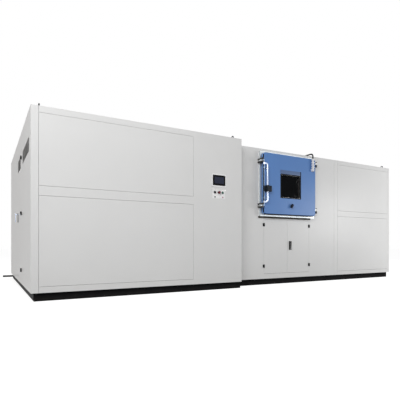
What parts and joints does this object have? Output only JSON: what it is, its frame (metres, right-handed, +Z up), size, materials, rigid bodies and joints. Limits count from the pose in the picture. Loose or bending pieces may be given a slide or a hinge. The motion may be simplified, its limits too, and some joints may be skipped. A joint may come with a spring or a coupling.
{
  "type": "environmental test chamber",
  "caption": "Long floor-standing test chamber with a machine housing, a test housing with a windowed insulated door, service doors, touch screen and switches.",
  "frame": {"origin": "centre of the outline's box, on the floor under the base", "axes": "+X along the front from the machine housing to the test housing, +Y towards the rear, +Z up"},
  "size_m": [7.23, 3.765, 2.3599],
  "materials": {
    "white_paint": "gloss",
    "black_paint": "satin",
    "blue_paint": "gloss",
    "steel_frame": "satin",
    "stainless": "satin",
    "chrome": "polished",
    "black_metal": "satin",
    "black_plastic": "satin",
    "foam": "matte",
    "rubber": "matte",
    "silicone": "matte",
    "pane_glass": "polished",
    "screen_glass": "gloss",
    "red_plastic": "gloss",
    "green_plastic": "gloss",
    "lamp_plastic": "gloss",
    "coil_alloy": "satin",
    "grey_plastic": "satin"
  },
  "bodies": {
    "cabinet": {"air_baffle": "stainless", "air_coils": "coil_alloy", "base_frame": "black_paint", "cabinet_hinges": "black_metal", "chamber_front_wall": "white_paint", "chamber_insulation": "foam", "chamber_liner": "stainless", "compressors": "black_metal", "condenser": "coil_alloy", "control_panel": "white_paint", "door_frame": "stainless", "door_hinge_brackets": "black_metal", "door_keepers": "black_metal", "electrical_plate": "steel_frame", "end_panels": "white_paint", "eye_bolts": "black_metal", "fan_motor": "steel_frame", "front_panels": "white_paint", "hmi_bezel": "black_plastic", "hmi_screen": "screen_glass", "housing_frame": "steel_frame", "indicator_lamps": "lamp_plastic", "lifting_lugs": "black_paint", "rear_louvres": "white_paint", "rear_panels": "white_paint", "roof_cable_gland": "black_plastic", "roof_panels": "white_paint", "shelf": "stainless", "switch_collars": "black_plastic"},
    "main_door": {"door_skin": "blue_paint", "door_core": "foam", "door_liner": "stainless", "window_frame": "black_plastic", "window_panes": "pane_glass", "door_gasket": "silicone", "door_hinge_leaves": "stainless", "rod_brackets": "chrome", "lock_catch": "black_plastic", "door_cable_boot": "grey_plastic", "door_cable": "rubber"},
    "lock_handle": {"lock_rod": "chrome", "grip_bar": "chrome", "lock_body": "black_plastic"},
    "lock_release": {"lock_button": "black_plastic"},
    "window_wiper": {"wiper_knob": "black_plastic", "wiper_arm": "rubber"},
    "lower_left_leaf": {"left_leaf": "white_paint", "left_leaf_fittings": "black_metal"},
    "lower_right_leaf": {"right_leaf": "white_paint", "right_leaf_fittings": "black_metal"},
    "leaf_lever": {"leaf_latch": "black_metal"},
    "maintenance_door": {"side_door": "white_paint", "side_door_fittings": "black_metal"},
    "side_lever": {"side_latch": "chrome"},
    "stop_switch": {"estop_button": "red_plastic"},
    "start_switch": {"start_button": "green_plastic"},
    "selector_switch": {"selector_knob": "black_plastic"},
    "chamber_fan": {"circulation_fan": "stainless"},
    "cooling_fan": {"condenser_fan": "black_metal"}
  },
  "joints": [
    {"name": "door_swing", "type": "hinge", "parent": "cabinet", "child": "main_door", "pos_m": [1.272, -1.6875, 1.686], "axis": [0, 0, 1], "range_deg": [0, 110], "deforming": ["door_cable"]},
    {"name": "handle_turn", "type": "hinge", "parent": "main_door", "child": "lock_handle", "pos_m": [0.052, -1.7335, 1.686], "axis": [0, 0, 1], "range_deg": [-100, 0]},
    {"name": "release_press", "type": "slide", "parent": "lock_handle", "child": "lock_release", "axis": [0, 1, 0], "range_m": [0, 0.005], "stiffness_N_per_m": 400},
    {"name": "wiper_turn", "type": "hinge", "parent": "main_door", "child": "window_wiper", "pos_m": [0.653, -1.6375, 1.331], "axis": [0, 1, 0], "range_deg": [-28, 28]},
    {"name": "left_leaf_swing", "type": "hinge", "parent": "cabinet", "child": "lower_left_leaf", "pos_m": [0.1365, -1.6295, 0.64], "axis": [0, 0, 1], "range_deg": [-110, 0]},
    {"name": "right_leaf_swing", "type": "hinge", "parent": "cabinet", "child": "lower_right_leaf", "pos_m": [1.1675, -1.6295, 0.64], "axis": [0, 0, 1], "range_deg": [0, 110]},
    {"name": "leaf_lever_turn", "type": "hinge", "parent": "lower_right_leaf", "child": "leaf_lever", "pos_m": [0.709, -1.6175, 0.715], "axis": [0, 1, 0], "range_deg": [0, 90]},
    {"name": "side_door_swing", "type": "hinge", "parent": "cabinet", "child": "maintenance_door", "pos_m": [-3.477, -0.579, 1.117], "axis": [0, 0, 1], "range_deg": [0, 110]},
    {"name": "side_lever_turn", "type": "hinge", "parent": "maintenance_door", "child": "side_lever", "pos_m": [-3.465, 0.0625, 1.148], "axis": [1, 0, 0], "range_deg": [0, 90]},
    {"name": "stop_press", "type": "slide", "parent": "cabinet", "child": "stop_switch", "axis": [0, 1, 0], "range_m": [0, 0.008], "stiffness_N_per_m": 600},
    {"name": "start_press", "type": "slide", "parent": "cabinet", "child": "start_switch", "axis": [0, 1, 0], "range_m": [0, 0.004], "stiffness_N_per_m": 400},
    {"name": "selector_turn", "type": "hinge", "parent": "cabinet", "child": "selector_switch", "pos_m": [-0.961, -1.8375, 1.447], "axis": [0, 1, 0], "range_deg": [0, 90]},
    {"name": "chamber_fan_spin", "type": "hinge", "parent": "cabinet", "child": "chamber_fan", "pos_m": [0.652, -0.6375, 1.79], "axis": [0, 1, 0], "continuous": true},
    {"name": "cooling_fan_spin", "type": "hinge", "parent": "cabinet", "child": "cooling_fan", "pos_m": [-1.535, 1.5125, 1.16], "axis": [0, 1, 0], "continuous": true}
  ]
}
